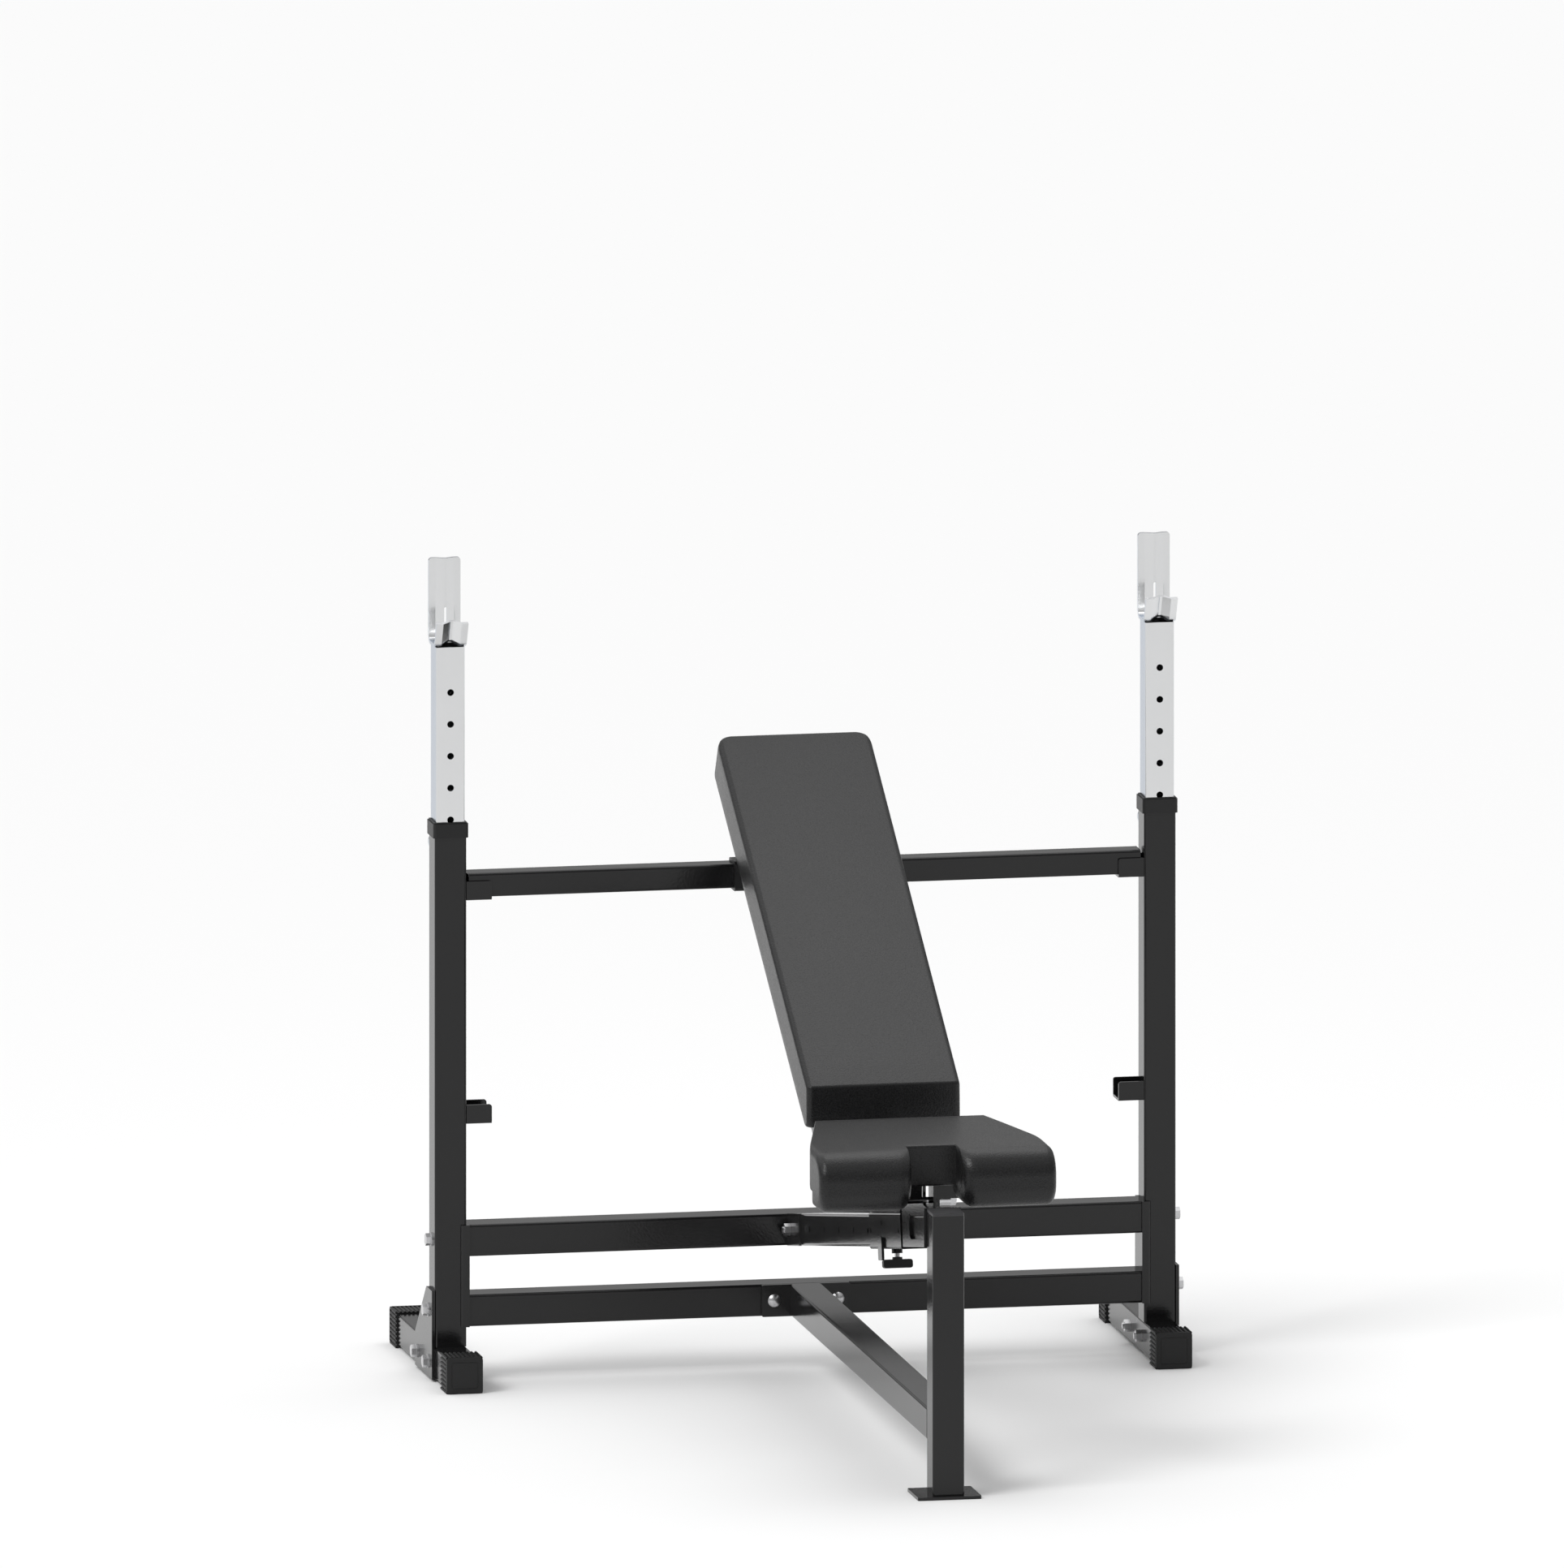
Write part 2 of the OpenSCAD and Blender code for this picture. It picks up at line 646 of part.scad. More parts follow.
// Outline of one cheek, from the seat's front to the backrest's pivot
module cheek_2d() {
    foot_slope = tan(slope);
    polygon(concat(
        [[5, cheek_foot - 5 * foot_slope], [5, board_z], [seat_rear_y + 4, board_z]],
        arc([pivot_y, pivot_z], 17, 100, -60, 12),
        [[carriage_l * cos(slope) - 8, cheek_foot - (carriage_l * cos(slope) - 8) * foot_slope]]
    ));
}

module seat_cheek(side) color("dimgray") on_side(side) translate([0, carriage_y, carriage_z]) difference() {
    union() {
        along_x(cheek_x, cheek_x + cheek_t) difference() {
            cheek_2d();
            if (side > 0) translate([cross_bolt_y, cross_bolt_z + 10]) round_rect(46, 42, 6);
        }
        // Top flange that the board rests on
        translate([cheek_x, flange_y, board_z - plate]) cube([flange_w, seat_rear_y - flange_y - 25, plate]);
        // Lug for the cross bolt, and the flange's front apron
        if (side > 0) {
            lug_low = cross_bolt_z - 12;
            translate([lug_x, cross_bolt_y - 12, lug_low]) cube([plate, 24, board_z - lug_low]);
            translate([cheek_x, flange_y, board_z - apron_h]) cube([apron_w, plate, apron_h]);
        } else
            translate([-cheek_gap, flange_y, board_z - apron_h])
                cube([cheek_x + cheek_gap, plate, apron_h]);
    }
    translate([0, cross_bolt_y, cross_bolt_z]) rod_x(0, tube + lug_x, bolt_d + 2 * bolt_gap);
    translate([0, pivot_y, pivot_z]) rod_x(0, tube, axle_d + 2 * run_gap);
}

// Bolt through the left cheek and the right lug, with a boss and a nut on the right
module seat_cross_bolt() color("silver") on_carriage() translate([0, cross_bolt_y, cross_bolt_z]) {
    left = -cheek_x - cheek_t;
    boss = lug_x + plate;
    hex_x(left - head_h, left);
    rod_x(left - 0.1, boss + 28, bolt_d);
    difference() {
        rod_x(boss, boss + 18, 18);
        rod_x(0, 2 * tube, bolt_d);
    }
    difference() {
        hex_x(boss + 18, boss + 18 + nut_h);
        rod_x(0, 2 * tube, bolt_d);
    }
}

// Plan of the seat, inset by d all round
module seat_plan(d) polygon([
    [-seat_rear_half + 8 + d, seat_rear_y - d], [seat_rear_half - 8 - d, seat_rear_y - d],
    [seat_rear_half - d, seat_rear_y - 8 - d],
    [seat_half - d, roll_y], [seat_half - d, seat_front_y + d],
    [-seat_half + d, seat_front_y + d], [-seat_half + d, roll_y],
    [-seat_rear_half + d, seat_rear_y - 8 - d],
]);

module seat_board() color("saddlebrown") on_carriage() intersection() {
    translate([0, 0, board_z]) linear_extrude(board_t) seat_plan(20);
    translate([-seat_half, roll_y + 8, board_z]) cube([2 * seat_half, seat_l, board_t]);
}

// Upholstered seat: flat at the back, with a deep roll on each side of the front notch
module seat_pad() color("dimgray") on_carriage() difference() {
    intersection() {
        linear_extrude(seat_h) seat_plan(0);
        along_x(-seat_half, seat_half) polygon(concat(
            arc([seat_rear_y - 8, seat_h - 8], 8, 0, 90, 5),
            arc([roll_flat_y, seat_h - 43], 43, 90, 180, 12),
            arc([seat_front_y + 28, seat_h - roll_drop + 28], 28, 180, 270, 8),
            [[roll_y, seat_h - roll_drop], [roll_y, board_z], [seat_rear_y, board_z]]
        ));
    }
    // Notch, and the flat underside behind it
    translate([-notch_half, seat_front_y - 1, 0])
        cube([2 * notch_half, notch_y - seat_front_y + 1, seat_h + 1]);
    translate([-notch_half, seat_front_y - 1, 0])
        cube([2 * notch_half, roll_y - seat_front_y + 2, board_z]);
    intersection() {
        translate([0, 0, board_z - 1]) linear_extrude(board_t + 1 + soft_gap) seat_plan(20 - soft_gap);
        translate([-seat_half, roll_y + 8 - soft_gap, 0]) cube([2 * seat_half, seat_l, seat_h]);
    }
}

// ---- Backrest ----

module back_rail(side) color("dimgray") on_side(side) translate([0, pivot_abs[0], pivot_abs[1]])
    rotate([back_angle, 0, 0]) difference() {
        translate([rail_x, 0, 0]) along_y(rail_start, rail_end) tube_2d(rail_w, rail_h, tube_r, tube_wall);
        rod_x(0, rail_x + tube, axle_d + 2 * run_gap);
    }

module backrest_board() color("saddlebrown") on_backrest()
    translate([0, (pad_low + 20 + pad_top + back_l - 20) / 2, rail_h / 2]) linear_extrude(board_t)
        round_rect(back_w - 40, pad_top + back_l - pad_low - 40, 12);

// Upholstered backrest, cut square to the floor at its lower end
module backrest_pad() color("dimgray") on_backrest() difference() {
    z0 = rail_h / 2;
    z1 = z0 + back_t;
    end_y = pad_top + back_l;
    intersection() {
        along_x(-back_w / 2, back_w / 2) polygon(concat(
            arc([pad_low + 20, z0 + 20], 20, 180 - back_angle, 270, 8),
            [[end_y, z0]],
            arc([end_y - 10, z1 - 10], 10, 0, 90, 5),
            arc([pad_top + 4, z1 - 10], 10, 90, 180 - back_angle, 5)
        ));
        translate([0, (pad_low + end_y) / 2, 0]) linear_extrude(2 * z1)
            round_rect(back_w, end_y - pad_low + 2, 24);
    }
    translate([0, (pad_low + end_y) / 2, 0]) linear_extrude(z0 + board_t + soft_gap)
        round_rect(back_w - 40 + 2 * soft_gap, end_y - pad_low - 40 + 2 * soft_gap, 12);
}

module pivot_axle() color("silver") on_backrest() {
    reach = rail_x + rail_w / 2;
    hex_x(-reach - head_h, -reach);
    rod_x(-reach - 0.1, reach + nut_h + nut_tail, axle_d);
    difference() {
        hex_x(reach, reach + nut_h);
        rod_x(0, reach + tube, axle_d);
    }
}

// Spacers on the axle between the cheeks and the rails
module pivot_bushes() color("black") on_backrest()
    for (side = [-1, 1]) mirror([side < 0 ? 1 : 0, 0, 0]) difference() {
        rod_x(cheek_x + cheek_t + soft_gap, rail_x - rail_w / 2, bush_d);
        rod_x(0, rail_x, axle_d + 2 * run_gap);
    }

upright(-1);  // left_upright
upright(1);  // right_upright
foot_tube(-1);  // left_foot_tube
foot_tube(1);  // right_foot_tube
foot_cap(-1, -1);  // left_front_cap
foot_cap(1, -1);  // right_front_cap
foot_cap(-1, 1);  // left_rear_cap
foot_cap(1, 1);  // right_rear_cap
gusset(-1);  // left_gusset
gusset(1);  // right_gusset
collar(-1);  // left_collar
collar(1);  // right_collar
post(-1);  // left_post
post(1);  // right_post
saddle(-1);  // left_saddle
saddle(1);  // right_saddle
pin_housing(-1);  // left_pin_housing
pin_housing(1);  // right_pin_housing
pull_pin(-1);  // left_pull_pin
pull_pin(1);  // right_pull_pin
pin_knob(-1);  // left_pin_knob
pin_knob(1);  // right_pin_knob
end_channel(-1);  // left_end_channel
end_channel(1);  // right_end_channel
hook(-1, hook_z);  // left_upper_hook
hook(1, hook_z);  // right_upper_hook
hook(-1, hook_z - hook_step);  // left_lower_hook
hook(1, hook_z - hook_step);  // right_lower_hook
crossbar();
crossbar_sleeve();
crossbeam(cross_hi_z);  // upper_crossbeam
crossbeam(cross_lo_z);  // lower_crossbeam
brace_tube();
brace_flange();
brace_bolts();
front_post();
front_post_cap();
front_foot_plate();
main_beam();
beam_rear_bracket();
beam_front_bracket();
beam_bolt();
frame_bolts(-1);  // left_frame_bolts
frame_bolts(1);  // right_frame_bolts
frame_nuts();
carriage_sleeve();
seat_cheek(-1);  // left_seat_cheek
seat_cheek(1);  // right_seat_cheek
seat_board();
seat_pad();
seat_cross_bolt();
clamp_boss();
clamp_stud();
clamp_handle();
back_rail(-1);  // left_back_rail
back_rail(1);  // right_back_rail
backrest_board();
backrest_pad();
pivot_axle();
pivot_bushes();
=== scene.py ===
"""Looks of an olympic bench press: upholstered pads, finishes for steel and plastic, and a studio."""

import json
import math

import bpy
import numpy as np
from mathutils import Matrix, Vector


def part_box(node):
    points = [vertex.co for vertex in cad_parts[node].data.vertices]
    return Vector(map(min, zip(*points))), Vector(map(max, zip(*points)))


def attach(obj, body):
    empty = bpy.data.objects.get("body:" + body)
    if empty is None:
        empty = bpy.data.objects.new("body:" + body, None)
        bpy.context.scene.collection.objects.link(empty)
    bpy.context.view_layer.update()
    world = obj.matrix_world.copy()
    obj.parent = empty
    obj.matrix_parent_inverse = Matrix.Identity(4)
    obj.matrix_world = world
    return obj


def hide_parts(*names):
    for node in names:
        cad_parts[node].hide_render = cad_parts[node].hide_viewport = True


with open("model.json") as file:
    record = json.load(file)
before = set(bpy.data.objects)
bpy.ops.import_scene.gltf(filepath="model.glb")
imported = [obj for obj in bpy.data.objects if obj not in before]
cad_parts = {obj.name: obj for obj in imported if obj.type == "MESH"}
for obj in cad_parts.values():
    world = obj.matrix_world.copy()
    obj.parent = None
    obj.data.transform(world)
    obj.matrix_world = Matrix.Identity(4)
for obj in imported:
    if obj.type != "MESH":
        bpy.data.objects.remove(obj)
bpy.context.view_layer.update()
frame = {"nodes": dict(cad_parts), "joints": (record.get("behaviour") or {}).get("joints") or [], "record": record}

bl_info = {
    "name": "Olympic Bench Press",
    "version": (1, 0, 0),
    "blender": (4, 5, 0),
    "location": "View3D > Sidebar > Bench",
    "description": "Upholsters and finishes a weight bench on its frame",
    "category": "Object",
}

NODES = frame["nodes"]
MM = 0.001

# Rounds and depths that both pads share
UNDER_ROUND = 5 * MM
CROWN_DEPTH = 30 * MM


# ---- Sizes and colours that a user would change ----

class BenchPads(bpy.types.PropertyGroup):
    """Shape of the two upholstered pads."""

    edge: bpy.props.FloatProperty(
        name="Edge radius", description="Radius of the pads' upholstered edges",
        default=0.009, min=0.003, max=0.014, unit="LENGTH")
    corner: bpy.props.FloatProperty(
        name="Head corner", description="Radius of the backrest's two upper corners",
        default=0.025, min=0.012, max=0.05, unit="LENGTH")
    chin: bpy.props.FloatProperty(
        name="Chin radius", description="Radius under the backrest's lower end",
        default=0.010, min=0.006, max=0.03, unit="LENGTH")
    roll: bpy.props.FloatProperty(
        name="Roll radius", description="Radius over the seat's front rolls",
        default=0.042, min=0.02, max=0.045, unit="LENGTH")
    roll_under: bpy.props.FloatProperty(
        name="Roll underside", description="Radius under the seat's front rolls",
        default=0.028, min=0.012, max=0.04, unit="LENGTH")
    notch_half: bpy.props.FloatProperty(
        name="Notch half width", description="Half the gap between the seat's two rolls",
        default=0.040, min=0.03, max=0.05, unit="LENGTH")
    roll_depth: bpy.props.FloatProperty(
        name="Roll depth", description="From the notch's wall to the back of the rolls",
        default=0.024, min=0.01, max=0.04, unit="LENGTH")
    inner_round: bpy.props.FloatProperty(
        name="Inner round", description="Radius of the rolls' corners beside the notch",
        default=0.020, min=0.01, max=0.03, unit="LENGTH")
    crown: bpy.props.FloatProperty(
        name="Crown", description="How far the stuffing lifts the middle of a pad",
        default=0.0016, min=0.0, max=0.006, unit="LENGTH")


class BenchColours(bpy.types.PropertyGroup):
    """Colours of the bench's finishes."""

    coat: bpy.props.FloatVectorProperty(
        name="Powder coat", description="Colour of the coated steel", subtype="COLOR",
        size=3, default=(0.0080, 0.0080, 0.0083), min=0.0, max=1.0)
    vinyl: bpy.props.FloatVectorProperty(
        name="Vinyl", description="Colour of the pads' cover", subtype="COLOR",
        size=3, default=(0.0115, 0.0115, 0.0119), min=0.0, max=1.0)
    chrome: bpy.props.FloatVectorProperty(
        name="Chrome", description="Colour of the plated posts and saddles", subtype="COLOR",
        size=3, default=(0.70, 0.705, 0.71), min=0.0, max=1.0)
    zinc: bpy.props.FloatVectorProperty(
        name="Zinc", description="Colour of the bolts and nuts", subtype="COLOR",
        size=3, default=(0.60, 0.60, 0.61), min=0.0, max=1.0)
    plastic: bpy.props.FloatVectorProperty(
        name="Plastic", description="Colour of the moulded caps and collars", subtype="COLOR",
        size=3, default=(0.0045, 0.0045, 0.0048), min=0.0, max=1.0)


# ---- Shader maths ----

class Value:
    """A node's output that Python's operators can work on; each operator adds one Math node."""

    def __init__(self, finish, socket):
        self.finish = finish
        self.socket = socket

    def _math(self, operation, *terms):
        return self.finish.add("ShaderNodeMath", {"operation": operation}, *terms)

    def __add__(self, other):
        return self._math("ADD", self, other)

    def __radd__(self, other):
        return self._math("ADD", other, self)

    def __mul__(self, other):
        return self._math("MULTIPLY", self, other)

    def __rmul__(self, other):
        return self._math("MULTIPLY", other, self)


class Finish:
    """A procedural material, built from a Principled shader outwards."""

    def __init__(self, name, colour, roughness, metallic=0.0, **constants):
        self.material = bpy.data.materials.new(name)
        self.material.use_nodes = True
        self.tree = self.material.node_tree
        self.shader = next(n for n in self.tree.nodes if n.type == "BSDF_PRINCIPLED")
        self.shader.inputs["Base Color"].default_value = (*colour, 1.0)
        self.shader.inputs["Roughness"].default_value = roughness
        self.shader.inputs["Metallic"].default_value = metallic
        for socket, number in constants.items():
            self.shader.inputs[socket.replace("_", " ")].default_value = number
        self.place = self.add("ShaderNodeTexCoord", {}, out="Object")

    def add(self, kind, settings, *values, out=0, **named):
        """Adds a node, applies its settings, then links or sets its inputs, and returns one output."""
        node = self.tree.nodes.new(kind)
        for key, setting in settings.items():
            setattr(node, key, setting)
        for key, value in [*enumerate(values), *named.items()]:
            socket = node.inputs[key if isinstance(key, int) else key.replace("_", " ")]
            if isinstance(value, Value):
                self.tree.links.new(value.socket, socket)
            else:
                socket.default_value = value
        return Value(self, node.outputs[out])

    def stretched(self, scale, turn=(0.0, 0.0, 0.0)):
        """Object coordinates, turned and scaled along each axis."""
        return self.add("ShaderNodeMapping", {}, Vector=self.place, Rotation=turn, Scale=scale)

    def noise(self, scale, detail=2.0, rough=0.5, where=None, distortion=0.0):
        return self.add("ShaderNodeTexNoise", {}, Vector=where or self.place, Scale=scale,
                        Detail=detail, Roughness=rough, Distortion=distortion)

    def cells(self, scale, where=None, feature="F1", smoothness=None):
        node_values = {"Vector": where or self.place, "Scale": scale}
        if smoothness is not None:
            node_values["Smoothness"] = smoothness
        return self.add("ShaderNodeTexVoronoi", {"feature": feature}, **node_values)

    def ramp(self, value, low, high):
        """Maps value from low..high to 0..1, smoothly."""
        return self.add("ShaderNodeMapRange", {"interpolation_type": "SMOOTHSTEP"},
                        value, low, high, 0.0, 1.0)

    def blend(self, factor, first, second):
        """Mixes two colours by a value."""
        node = self.tree.nodes.new("ShaderNodeMix")
        node.data_type = "RGBA"
        self.tree.links.new(factor.socket, node.inputs[0])
        for socket, colour in ((node.inputs[6], first), (node.inputs[7], second)):
            if isinstance(colour, Value):
                self.tree.links.new(colour.socket, socket)
            else:
                socket.default_value = (*colour, 1.0)
        return Value(self, node.outputs[2])

    def bump(self, height, strength, distance):
        """Raises the surface by a height of 0..1 times distance."""
        normal = self.add("ShaderNodeBump", {}, Strength=strength, Distance=distance, Height=height,
                          out="Normal")
        self.drive("Normal", normal)

    def drive(self, socket, value):
        self.tree.links.new(value.socket, self.shader.inputs[socket])


def shade(colour, factor):
    return tuple(min(1.0, c * factor) for c in colour)


# ---- Finishes ----

def powder_coat(colour):
    """Glossy black powder coat: orange peel of a few millimetres with a finer grain on it."""
    finish = Finish("bench_coat", colour, 0.12, Specular_IOR_Level=0.36)
    peel = finish.noise(240.0, 2.0, 0.5)
    grain = finish.noise(1100.0, 1.0, 0.5)
    drift = finish.noise(9.0, 3.0, 0.6)
    finish.drive("Base Color", finish.blend(drift, shade(colour, 0.86), shade(colour, 1.16)))
    finish.drive("Roughness", 0.08 + 0.07 * drift + 0.04 * grain)
    finish.bump(peel * 0.75 + grain * 0.25, 0.22, 0.0005)
    return finish.material


def chrome_plate(colour):
    """Bright plate with hairline polishing marks along the tube and a faint haze."""
    finish = Finish("bench_chrome", colour, 0.2, metallic=1.0, Specular_Tint=(0.74, 0.78, 0.84, 1.0))
    hairlines = finish.noise(60.0, 4.0, 0.7, where=finish.stretched((40.0, 40.0, 1.5)))
    haze = finish.noise(14.0, 3.0, 0.55)
    finish.drive("Base Color", finish.blend(haze, shade(colour, 0.95), shade(colour, 1.05)))
    finish.drive("Roughness", 0.11 + 0.09 * hairlines + 0.05 * haze)
    finish.bump(hairlines, 0.08, 0.0001)
    return finish.material


def zinc_plate(colour):
    """Zinc-plated fasteners: satin grey metal with a mottled passivation."""
    finish = Finish("bench_zinc", colour, 0.3, metallic=1.0)
    mottle = finish.noise(160.0, 3.0, 0.6)
    finish.drive("Base Color", finish.blend(mottle, shade(colour, 0.82), shade(colour, 1.12)))
    finish.drive("Roughness", 0.22 + 0.16 * mottle)
    finish.bump(mottle, 0.12, 0.0002)
    return finish.material


def moulded_plastic(name, colour, roughness, texture):
    """Injection-moulded plastic with a spark-eroded grain and an uneven sheen."""
    finish = Finish(name, colour, roughness, Specular_IOR_Level=0.45)
    spark = finish.cells(1500.0)
    drift = finish.noise(35.0, 3.0, 0.6)
    finish.drive("Base Color", finish.blend(drift, shade(colour, 0.8), shade(colour, 1.3)))
    finish.drive("Roughness", (roughness - 0.05) + 0.12 * drift)
    finish.bump(spark, texture, 0.00025)
    return finish.material


def pad_vinyl(colour):
    """Soft vinyl with a fine slanting grain: stretched pebbles and wrinkles over a slow fade."""
    finish = Finish("bench_vinyl", colour, 0.34, Specular_IOR_Level=0.33)
    slant = finish.stretched((1.0, 1.0, 1.0), turn=(0.0, 0.0, math.radians(38.0)))
    long_grain = finish.add("ShaderNodeMapping", {}, Vector=slant, Scale=(1.0, 2.6, 1.6))
    pebbles = finish.cells(260.0, where=long_grain, feature="SMOOTH_F1", smoothness=0.6)
    wrinkle = finish.noise(420.0, 3.0, 0.6, where=long_grain, distortion=0.4)
    fade = finish.noise(7.0, 3.0, 0.55)
    grain = pebbles * 0.6 + wrinkle * 0.4
    light = finish.ramp(grain, 0.25, 0.75)
    tone = finish.blend(light, shade(colour, 0.7), shade(colour, 1.3))
    finish.drive("Base Color", finish.blend(fade * 0.25, tone, shade(colour, 1.35)))
    finish.drive("Roughness", 0.24 + 0.10 * light + 0.05 * fade)
    finish.bump(grain, 0.5, 0.0009)
    return finish.material


def shared_vinyl(colours):
    """The pads' one vinyl, made when the first pad asks for it."""
    return bpy.data.materials.get("bench_vinyl") or pad_vinyl(colours.vinyl)


def plywood():
    """Raw plywood: a slow wavy face grain with darker pores."""
    pale, dark = (0.46, 0.31, 0.18), (0.28, 0.17, 0.085)
    finish = Finish("bench_plywood", pale, 0.62)
    face = finish.noise(5.0, 4.0, 0.6, where=finish.stretched((7.0, 0.7, 1.0)), distortion=0.8)
    pores = finish.noise(90.0, 2.0, 0.6, where=finish.stretched((6.0, 0.5, 1.0)))
    grain = finish.ramp(face, 0.3, 0.7)
    finish.drive("Base Color", finish.blend(grain * 0.8 + pores * 0.2, pale, dark))
    finish.drive("Roughness", 0.55 + 0.15 * pores)
    finish.bump(pores, 0.2, 0.0003)
    return finish.material


# ---- Skins: rings of points, one for each station across a pad ----

def rounded_rings(corners, radii, turn_points=9, edge_points=10):
    """Rings of rounded polygons, all stations at once.

    Each corner is turned on a true arc, written as a rational quadratic between its two tangent
    points with the corner as the control point and the sine of half the corner's angle as its
    weight. The straight edges between the arcs carry evenly spaced points.
    corners is (stations, corners, 2) and radii is (stations, corners).
    """
    before = np.roll(corners, 1, axis=1) - corners
    after = np.roll(corners, -1, axis=1) - corners
    before_l = np.maximum(np.linalg.norm(before, axis=2, keepdims=True), 1e-9)
    after_l = np.maximum(np.linalg.norm(after, axis=2, keepdims=True), 1e-9)
    before_u, after_u = before / before_l, after / after_l
    half = 0.5 * np.arccos(np.clip((before_u * after_u).sum(2), -1.0, 1.0))
    reach = radii / np.tan(np.maximum(half, 1e-3))
    reach = np.minimum(reach, 0.48 * np.minimum(before_l[..., 0], after_l[..., 0]))[..., None]
    start, end = corners + before_u * reach, corners + after_u * reach
    weight = np.sin(half)[..., None, None]
    t = np.linspace(0.0, 1.0, turn_points)[None, None, :, None]
    a, b, c = (1 - t) ** 2, 2 * t * (1 - t) * weight, t ** 2
    arcs = (a * start[:, :, None] + b * corners[:, :, None] + c * end[:, :, None]) / (a + b + c)
    s = np.linspace(0.0, 1.0, edge_points + 2)[None, None, 1:-1, None]
    edges = end[:, :, None] * (1 - s) + np.roll(start, -1, axis=1)[:, :, None] * s
    return np.concatenate([arcs, edges], axis=2).reshape(len(corners), -1, 2)


def quarter_round(radius, count):
    """Travel along a quarter round of a radius, and the distance still to go across it.

    At an angle t from 0 to 90 degrees the travel is (1 - cos t) and the distance (1 - sin t).
    """
    angle = np.linspace(0.0, math.pi / 2, count)
    return radius * (1.0 - np.cos(angle)), radius * (1.0 - np.sin(angle))


def skin(name, x, rings, material, end_steps=4):
    """A closed skin over rings of (y, z) points at stations x, with both ends drawn in to a pole."""
    x = np.asarray(x, float)
    points = np.concatenate([np.repeat(x[:, None, None], rings.shape[1], 1), rings], axis=2)

    def end_rings(ring):
        shrink = np.linspace(1.0, 0.0, end_steps + 1)[1:-1, None, None]
        middle = ring.mean(0)
        return middle + (ring - middle)[None] * shrink, middle

    low, low_pole = end_rings(points[0])
    high, high_pole = end_rings(points[-1])
    grid = np.concatenate([low[::-1], points, high])
    rows, cols = grid.shape[:2]
    index = np.arange(rows * cols).reshape(rows, cols)
    ahead = np.roll(index, -1, axis=1)
    quads = np.stack([index[:-1], ahead[:-1], ahead[1:], index[1:]], axis=2).reshape(-1, 4)
    first, last = rows * cols, rows * cols + 1
    fans = [(first, int(b), int(a)) for a, b in zip(index[0], ahead[0])]
    fans += [(last, int(a), int(b)) for a, b in zip(index[-1], ahead[-1])]
    verts = np.concatenate([grid.reshape(-1, 3), low_pole[None], high_pole[None]])
    mesh = bpy.data.meshes.new(name)
    mesh.from_pydata(verts.tolist(), [], quads.tolist() + fans)
    mesh.polygons.foreach_set("use_smooth", np.ones(len(mesh.polygons), bool))
    mesh.materials.append(material)
    mesh.update()
    piece = bpy.data.objects.new(name, mesh)
    bpy.context.scene.collection.objects.link(piece)
    return piece


def point_array(node):
    mesh = NODES[node].data
    co = np.empty(len(mesh.vertices) * 3)
    mesh.vertices.foreach_get("co", co)
    return co.reshape(-1, 3)


def mirrored(half_x, half_corners, half_radii):
    """Stations from x = 0 outwards, completed on the other side."""
    x = np.concatenate([-half_x[:0:-1], half_x])
    corners = np.concatenate([half_corners[:0:-1], half_corners])
    radii = np.concatenate([half_radii[:0:-1], half_radii])
    return x, corners, radii


def crowned(x, rings, half_width, top, depth, crown):
    """Lifts points near the top face by crown times a dome over the pad's width and length."""
    y = rings[..., 0]
    span = (y - y.min()) / (y.max() - y.min())
    dome = (1.0 - (x[:, None] / half_width) ** 2) * (4.0 * span * (1.0 - span)) ** 0.5
    near_top = np.clip((rings[..., 1] - (top - depth)) / depth, 0.0, 1.0)
    rings[..., 1] += crown * (dome - 1.0) * near_top
    return rings


